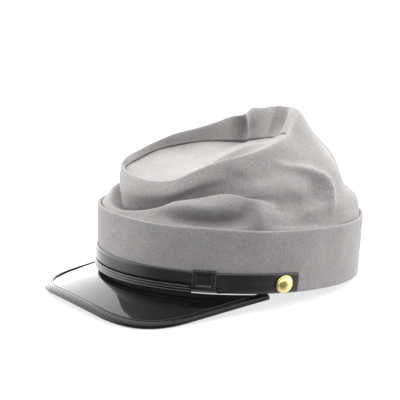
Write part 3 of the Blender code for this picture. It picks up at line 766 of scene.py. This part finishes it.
def make_welt():
    """The welt, its face a row of rounded ribs, carried round the band's foot."""
    low, high = CLEARANCE - PEAK_BELOW / 2, WELT_HEIGHT + CLEARANCE
    shares = np.linspace(0, 1, RIB_STEPS * WELT_RIBS + 1)
    ribs = WELT_RIB * np.abs(np.sin(shares * math.pi * WELT_RIBS)) ** RIB_FULLNESS
    face = CLEARANCE + WELT_THICKNESS + ribs
    section = list(zip(face, low + (high - low) * shares)) + [(CLEARANCE, high), (CLEARANCE, low)]
    end = SLIDE_ANGLE - slide_half_angle() * WELT_STOPS
    angles = np.radians(np.linspace(-WELT_END_ANGLE, end, WELT_STEPS))
    loops = np.stack([band_surface(angles, height, out) for out, height in section], 1)
    loop_piece("peak_welt", loops, strap_cloth, "black_patent", "peak_welt")


make_welt()


# The chin strap: two lengths of black leather cloth joined in a flat sleeve, or slide, with a sunk panel in
# its face. The narrow length crosses the front above the welt, the wide one runs back to the near button.

STRAP_SOFTNESS, STRAP_CREASE, CREASE_UP, CREASE_WIDTH = 0.00045, 0.0004, 0.44, 0.035
FRONT_STRAP_STEPS, REAR_STRAP_STEPS, TONGUE_STEPS = 220, 80, 8
SLIDE_STEPS, SLIDE_SOFTNESS, SLIDE_PIP = 33, 0.0004, 0.0005
LIFT_REACH, SOFT_REACH, SOFT_END_REACH = 1.2, 0.03, 0.05
PANEL_SLOPE_ALONG, PANEL_SLOPE_UP, PIP_ALONG, PIP_UP = 0.08, 0.045, 0.12, 0.07

# Where the rear strap leaves its tongue: the first step past it, and how soon it is wide, in degrees.
WIDENING_STEP, WIDENING = 0.15, 0.5


def strap_low():
    return WELT_HEIGHT + 2 * CLEARANCE


def slide_heights():
    high = strap_low() + STRAP_WIDTH + CLEARANCE + SLIDE_WALL
    return high - SLIDE_HEIGHT, high


def strap_out(angles):
    """How far a strap stands off the band: it is lifted where it runs through the slide."""
    lift = SLIDE_WALL + CLEARANCE
    away = (np.abs(np.degrees(angles) - SLIDE_ANGLE) / slide_half_angle() - 1.0).clip(0) / LIFT_REACH
    return CLEARANCE + lift * (1 - away.clip(0, 1) ** 2 * (3 - 2 * away.clip(0, 1)))


def softened(shares):
    """How much an edge is rounded off, from both ends (1) to the middle (0) of a width."""
    return np.exp(-shares / SOFT_REACH) + np.exp(-(1 - shares) / SOFT_REACH)


def strap_loops(angles, low, high, crowning, crease=0.0):
    """A strap in section at each angle: soft edges, a crowned face, and perhaps a crease part way up."""
    shares = np.linspace(0, 1, 15)
    inner = np.linspace(0, 1, 5)[::-1]
    low, high = (np.broadcast_to(v, angles.shape).astype(float) for v in (low, high))
    out = strap_out(angles)
    face = STRAP_THICKNESS + crowning * 4 * shares * (1 - shares)
    face = face - STRAP_SOFTNESS * softened(shares)
    face = face - crease * np.exp(-(((shares - CREASE_UP) / CREASE_WIDTH) ** 2))
    heights = low[:, None] + (high - low)[:, None] * shares
    front = band_surface(angles[:, None], heights, out[:, None] + face)
    back_heights = low[:, None] + (high - low)[:, None] * inner
    back = band_surface(angles[:, None], back_heights, out[:, None] + np.zeros(len(inner)))
    return np.concatenate([front, back], 1)


def make_front_strap():
    end = SLIDE_ANGLE - slide_half_angle() * STRAPS_MEET
    angles = np.radians(np.linspace(-STRAP_END_ANGLE, end, FRONT_STRAP_STEPS))
    loops = strap_loops(angles, strap_low(), strap_low() + STRAP_WIDTH, REAR_STRAP_CROWNING / 2)
    loop_piece("strap_front", loops, strap_cloth, "black_strap", "strap_front")


def make_rear_strap():
    """The wide strap, and the narrower tongue by which it enters the slide."""
    half = slide_half_angle()
    inside, clear = SLIDE_ANGLE + half * STRAPS_MEET, SLIDE_ANGLE + half * REAR_STRAP_WIDENS
    tongue = np.linspace(inside, clear, TONGUE_STEPS)
    strap = np.linspace(clear + WIDENING_STEP, STRAP_END_ANGLE, REAR_STRAP_STEPS)
    degrees = np.concatenate([tongue, strap])
    wide = np.clip((degrees - clear) / WIDENING, 0, 1)
    slide_low, slide_high = slide_heights()
    tongue_low = slide_low + SLIDE_WALL + CLEARANCE
    tongue_high = slide_high - SLIDE_WALL - CLEARANCE
    low = tongue_low + (REAR_STRAP_LIFT - tongue_low) * wide
    high = tongue_high + (REAR_STRAP_LIFT + REAR_STRAP_WIDTH - tongue_high) * wide
    loops = strap_loops(np.radians(degrees), low, high, REAR_STRAP_CROWNING, STRAP_CREASE)
    loop_piece("strap_rear", loops, strap_cloth, "black_strap", "strap_rear")


make_front_strap()
make_rear_strap()


def slide_loops(places, angles):
    """The slide's outer face and its hole as loops, one of each at every place along it."""
    low, high = slide_heights()
    near = CLEARANCE
    far = near + 2 * SLIDE_WALL + 2 * CLEARANCE + STRAP_THICKNESS + REAR_STRAP_CROWNING / 2
    shares = np.linspace(0, 1, SLIDE_STEPS)
    frame_along = SLIDE_FRAME / SLIDE_LENGTH * 2
    frame_up = SLIDE_FRAME / SLIDE_HEIGHT
    heights = low + (high - low) * shares
    corners = (
        (near + SLIDE_WALL, low + SLIDE_WALL),
        (far - SLIDE_WALL, low + SLIDE_WALL),
        (far - SLIDE_WALL, high - SLIDE_WALL),
        (near + SLIDE_WALL, high - SLIDE_WALL),
    )
    outer, inner = [], []
    for place, angle in zip(places, angles):
        along = np.clip((1 - abs(place) - frame_along) / PANEL_SLOPE_ALONG, 0, 1)
        up = np.clip((0.5 - np.abs(shares - 0.5) - frame_up) / PANEL_SLOPE_UP, 0, 1)
        sunk = 2 * SLIDE_RECESS * along * up
        edge = SLIDE_SOFTNESS * (softened(shares) + np.exp(-(1 - abs(place)) / SOFT_END_REACH))
        pip = SLIDE_PIP * np.exp(-((place / PIP_ALONG) ** 2) - ((shares - 0.5) / PIP_UP) ** 2)
        loop = [band_surface(angle, h, o) for h, o in zip(heights, far - sunk - edge + pip)]
        outer.append(loop + [band_surface(angle, h, near) for h in (high, low)])
        inner.append([band_surface(angle, h, o) for o, h in corners])
    return np.array(outer), np.array(inner)


def make_slide():
    """A flat sleeve: a tube of four walls with soft corners, and a square panel pressed into its face."""
    places = np.linspace(-1, 1, SLIDE_STEPS)
    outer, inner = slide_loops(places, np.radians(SLIDE_ANGLE + places * slide_half_angle()))
    rows, around, _ = outer.shape
    within = inner.shape[1]
    points = np.concatenate([outer.reshape(-1, 3), inner.reshape(-1, 3)])
    start = rows * around
    faces = grid_faces(rows, around, closed_columns=True)
    faces += [[start + corner for corner in face] for face in grid_faces(rows, within, closed_columns=True)]
    top, bottom = around - 2, around - 1
    for row in (0, rows - 1):
        o, i = row * around, start + row * within
        faces.append([o + k for k in range(around - 2)] + [i + 2, i + 1])
        faces.append([o + around - 3, o + top, i + 3, i + 2])
        faces.append([o + top, o + bottom, i + 0, i + 3])
        faces.append([o + bottom, o, i + 1, i + 0])
    make_piece("strap_slide", points, faces, strap_cloth, "black_strap", "strap_slide")


make_slide()


# The buttons: domed shells pressed from thin pale brass, polished, each on a wire post that goes through the
# strap and the band. One shows on the wearer's left, its fellow on the right.

BUTTON_RADIUS, BUTTON_DOME, BUTTON_RIM, BUTTON_ANGLE = 0.0065, 0.0036, 0.0008, 81.2
POST_RADIUS, BUTTON_STEPS, RIM_FLATNESS = 0.0012, 64, 0.9
ANGLE_ASIDE, HEIGHT_ABOVE = 0.01, 0.001


def polished_brass(name):
    """Pale brass with a high polish, a little redder and duller in patches."""
    finish, tree, shader, place = new_finish(name)
    tarnish = noise(tree, place, 260, 6)
    surface = {
        "Base Color": between(tree, tarnish, (0.93, 0.78, 0.36, 1), (0.78, 0.60, 0.22, 1)),
        "Roughness": mapped(tree, tarnish, (0, 1), (0.10, 0.26)),
        "Metallic": 1.0,
    }
    fill(tree, shader, surface)
    return finish


brass = polished_brass("button_brass")


def button_profile(depth):
    """A button in section from the dome's top, as radii and heights over its seat, with its post below."""
    inside, rim_rise = BUTTON_RADIUS - BUTTON_RIM, BUTTON_RIM * RIM_FLATNESS
    dome_steps = np.linspace(0, math.pi / 2, 16)
    rim_steps = np.linspace(math.pi / 2, -math.pi / 2, 9)
    dome = [(inside * math.sin(a), BUTTON_RIM + BUTTON_DOME * math.cos(a)) for a in dome_steps]
    rim = [(inside + BUTTON_RIM * math.cos(a), rim_rise + rim_rise * math.sin(a)) for a in rim_steps]
    return dome + rim + [(POST_RADIUS, 0.0), (POST_RADIUS, -depth), (0.0, -depth)]


def make_button(name, angle_degrees, height, seat):
    """A button turned about its post: a rolled rim and a full dome, seated square to the band."""
    top_point, *rings, post_end = button_profile(seat + BAND_WALL)
    turns = angles_round(BUTTON_STEPS)
    points = [(r * math.cos(t), r * math.sin(t), z) for r, z in rings for t in turns]
    faces = grid_faces(len(rings), len(turns), closed_columns=True)
    points += [(0, 0, top_point[1]), (0, 0, post_end[1])]
    top, bottom = len(points) - 2, len(points) - 1
    last = (len(rings) - 1) * len(turns)
    faces += [[k, (k + 1) % len(turns), top] for k in range(len(turns))]
    faces += [[last + k, last + (k + 1) % len(turns), bottom] for k in range(len(turns))]
    angle = math.radians(angle_degrees)
    beside = (angle - ANGLE_ASIDE, angle, angle + ANGLE_ASIDE)
    near, here, far = (Vector(band_surface(a, height)) for a in beside)
    above = Vector(band_surface(angle, height + HEIGHT_ABOVE))
    out = (above - here).cross(far - near).normalized()
    if out.dot(here) < 0:
        out = -out
    place = Matrix.Translation(here + out * seat) @ out.to_track_quat("Z", "Y").to_matrix().to_4x4()
    placed = [tuple(place @ Vector(p)) for p in points]
    make_piece(name, np.array(placed), faces, brass, "button_brass", name)


on_strap = 2 * CLEARANCE + STRAP_THICKNESS + REAR_STRAP_CROWNING
make_button("button_left", BUTTON_ANGLE, REAR_STRAP_LIFT + REAR_STRAP_WIDTH / 2, on_strap)
make_button("button_right", -BUTTON_ANGLE, strap_low() + STRAP_WIDTH / 2, on_strap)


# The studio: a white sweep in a white tent, brighter behind the cap than on the camera's side, with a large
# soft lamp above and another low on the right. The camera stands where the photo was taken from.

CAP_MIDDLE = (0, 0, 0.05)
BACK_BRIGHTEST, FRONT_BRIGHTEST = 3.9, 2.3
BACK_GREYS = ((0, 0.30), (0.46, 0.50), (0.53, 1.0), (0.75, 0.85), (1, 0.46))
FRONT_GREYS = ((0, 0.14), (0.50, 0.14), (0.60, 0.15), (0.70, 0.26), (0.82, 0.85), (1, 1.0))
AZIMUTH, ELEVATION, DISTANCE, AIM_ABOVE = 54.18, 13.83, 1.006, 0.0416
FOCAL_PIXELS, PICTURE_PIXELS, AIM_COLUMN, AIM_ROW, SENSOR = 1354.2, 400, 230.58, 211.35, 36
across, up_angle = math.radians(AZIMUTH), math.radians(ELEVATION)


def plain_white():
    finish = bpy.data.materials.new("floor_white")
    finish.use_nodes = True
    shader = finish.node_tree.nodes["Principled BSDF"]
    shader.inputs["Base Color"].default_value = (0.26, 0.26, 0.26, 1)
    shader.inputs["Roughness"].default_value = 0.9
    shader.inputs["Emission Color"].default_value = (1, 1, 1, 1)
    shader.inputs["Emission Strength"].default_value = 0.72
    return finish


bpy.ops.mesh.primitive_plane_add(size=12)
floor = bpy.context.object
floor.name = "studio_floor"
floor.data.materials.append(plain_white())
floor.visible_diffuse = False
floor.visible_glossy = False

tent = bpy.data.worlds.new("tent")
bpy.context.scene.world = tent
tent.use_nodes = True
tree = tent.node_tree
way = add_node(tree, "ShaderNodeTexCoord", {}).outputs["Generated"]
camera_way = {0: way, 1: (math.sin(across), -math.cos(across), 0)}
towards_camera = add_node(tree, "ShaderNodeVectorMath", camera_way, operation="DOT_PRODUCT")
ends = {"Value": towards_camera.outputs["Value"], "From Min": -0.05, "From Max": 0.80}
camera_side = add_node(tree, "ShaderNodeMapRange", ends, interpolation_type="SMOOTHSTEP")
rise = add_node(tree, "ShaderNodeSeparateXYZ", {"Vector": way})
height = add_node(tree, "ShaderNodeMath", {0: rise.outputs["Z"], 1: 0.5, 2: 0.5}, operation="MULTIPLY_ADD")


def light_by_height(brightest, greys):
    """How bright one side of the tent is, by height from straight down (0) to straight up (1)."""
    share = grey_ramp(tree, height.outputs["Value"], *greys)
    return add_node(tree, "ShaderNodeMath", {0: share, 1: brightest}, operation="MULTIPLY").outputs["Value"]


sides = {
    "Factor": camera_side.outputs["Result"],
    "A": light_by_height(BACK_BRIGHTEST, BACK_GREYS),
    "B": light_by_height(FRONT_BRIGHTEST, FRONT_GREYS),
}
strength = add_node(tree, "ShaderNodeMix", sides).outputs["Result"]
lighting = fill(tree, tree.nodes["Background"], {"Color": (1, 1, 1, 1), "Strength": strength})
backdrop = add_node(tree, "ShaderNodeBackground", {"Color": (1, 1, 1, 1)})
by_ray = {
    "Fac": add_node(tree, "ShaderNodeLightPath", {}).outputs["Is Camera Ray"],
    1: lighting.outputs["Background"],
    2: backdrop.outputs["Background"],
}
shown_or_lit = add_node(tree, "ShaderNodeMixShader", by_ray).outputs["Shader"]
fill(tree, tree.nodes["World Output"], {"Surface": shown_or_lit})


def softbox(name, place, aim, width, height, watts):
    lamp = bpy.data.lights.new(name, "AREA")
    lamp.shape = "RECTANGLE"
    lamp.size, lamp.size_y, lamp.energy = width, height, watts
    holder = bpy.data.objects.new(name, lamp)
    bpy.context.scene.collection.objects.link(holder)
    holder.location = place
    holder.rotation_euler = (Vector(aim) - Vector(place)).to_track_quat("-Z", "Y").to_euler()
    holder.visible_glossy = False


softbox("lamp_top", (-0.35, 0.35, 1.4), CAP_MIDDLE, width=0.9, height=0.9, watts=3)
softbox("lamp_right", (0.73, 1.01, 0.25), CAP_MIDDLE, width=0.8, height=0.6, watts=2)

behind = Vector((
    math.sin(across) * math.cos(up_angle),
    -math.cos(across) * math.cos(up_angle),
    math.sin(up_angle),
))
rightward = Vector((math.cos(across), math.sin(across), 0))
upward = behind.cross(rightward)
aim = Vector(ring_centre) + Vector((0, 0, AIM_ABOVE))
shift_right, shift_up = PICTURE_PIXELS / 2 - AIM_COLUMN, PICTURE_PIXELS / 2 - AIM_ROW
middle_ray = -behind + rightward * shift_right / FOCAL_PIXELS - upward * shift_up / FOCAL_PIXELS
turn = (-behind).rotation_difference(middle_ray)
square = Matrix((rightward, upward, behind)).transposed()
camera = bpy.data.objects.new("camera", bpy.data.cameras.new("camera"))
bpy.context.scene.collection.objects.link(camera)
camera.matrix_world = Matrix.Translation(aim + behind * DISTANCE) @ (turn.to_matrix() @ square).to_4x4()
camera.data.sensor_width = SENSOR
camera.data.lens = FOCAL_PIXELS / PICTURE_PIXELS * SENSOR
camera.data.clip_start = 0.01
bpy.context.scene.camera = camera
bpy.context.scene.view_settings.view_transform = "Standard"

bpy.context.view_layer.update()
